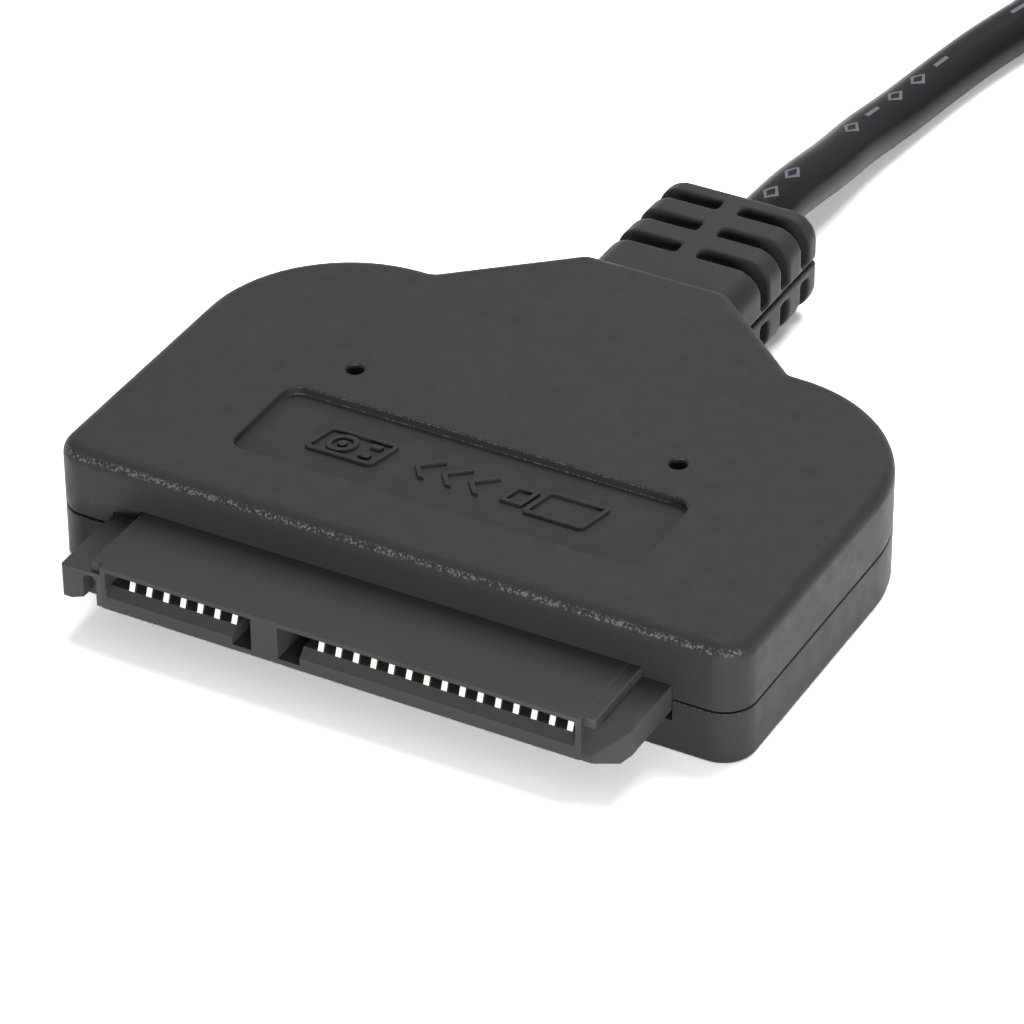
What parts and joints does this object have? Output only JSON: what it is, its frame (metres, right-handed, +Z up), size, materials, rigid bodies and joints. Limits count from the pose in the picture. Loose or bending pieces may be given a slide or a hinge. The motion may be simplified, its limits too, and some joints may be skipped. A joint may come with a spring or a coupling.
{
  "type": "usb to sata adapter",
  "caption": "Flat adapter head with a combined data and power drive connector, a moulded strain relief and a short round cable that ends in a flat plug.",
  "frame": {"origin": "under the middle of the adapter head (connector face to the end of the strain relief), on the surface that it lies on", "axes": "+Y from the drive connector toward the cable, +Z up through the thickness of the head, +X to the right seen from above with the connector at the bottom"},
  "size_m": [0.0819, 0.1307, 0.0092],
  "materials": {
    "shell_plastic": "fine matt grain, dark grey",
    "connector_plastic": "smooth moulded, dark grey",
    "contact_gold": "thin gold plating",
    "board_laminate": "green solder mask",
    "chip_plastic": "moulded epoxy",
    "crystal_can": "pressed can",
    "capacitor_body": "fired ceramic",
    "indicator_lens": "clear lens",
    "boot_plastic": "satin, flexible",
    "cable_jacket": "satin flexible vinyl",
    "tie_plastic": "satin",
    "plug_steel": "nickel plated, bright",
    "tongue_plastic": "smooth blue",
    "wire_red": "insulation",
    "wire_white": "insulation",
    "wire_green": "insulation",
    "wire_blue": "insulation",
    "wire_orange": "insulation",
    "wire_black": "insulation"
  },
  "bodies": {
    "root": {"top_cover": "shell_plastic", "bottom_cover": "shell_plastic", "usb_grip": "shell_plastic", "sata_housing": "connector_plastic", "signal_contact_1": "contact_gold", "signal_contact_2": "contact_gold", "signal_contact_3": "contact_gold", "signal_contact_4": "contact_gold", "signal_contact_5": "contact_gold", "signal_contact_6": "contact_gold", "signal_contact_7": "contact_gold", "power_contact_1": "contact_gold", "power_contact_2": "contact_gold", "power_contact_3": "contact_gold", "power_contact_4": "contact_gold", "power_contact_5": "contact_gold", "power_contact_6": "contact_gold", "power_contact_7": "contact_gold", "power_contact_8": "contact_gold", "power_contact_9": "contact_gold", "power_contact_10": "contact_gold", "power_contact_11": "contact_gold", "power_contact_12": "contact_gold", "power_contact_13": "contact_gold", "power_contact_14": "contact_gold", "power_contact_15": "contact_gold", "usb_contact_1": "contact_gold", "usb_contact_2": "contact_gold", "usb_contact_3": "contact_gold", "usb_contact_4": "contact_gold", "usb_contact_5": "contact_gold", "usb_contact_6": "contact_gold", "usb_contact_7": "contact_gold", "usb_contact_8": "contact_gold", "usb_contact_9": "contact_gold", "circuit_board": "board_laminate", "bridge_chip": "chip_plastic", "inductor": "chip_plastic", "regulator": "chip_plastic", "crystal": "crystal_can", "capacitor_1": "capacitor_body", "capacitor_2": "capacitor_body", "capacitor_3": "capacitor_body", "indicator_led_left": "indicator_lens", "indicator_led_right": "indicator_lens", "cable_boot": "boot_plastic", "cable_inner_end": "cable_jacket", "cable_run": "cable_jacket", "cable_coil": "cable_jacket", "cable_lead": "cable_jacket", "cable_tie": "tie_plastic", "usb_shell": "plug_steel", "usb_insulator": "tongue_plastic", "wire_1": "wire_red", "wire_2": "wire_white", "wire_3": "wire_green", "wire_4": "wire_blue", "wire_5": "wire_orange", "wire_6": "wire_black"}
  },
  "joints": []
}
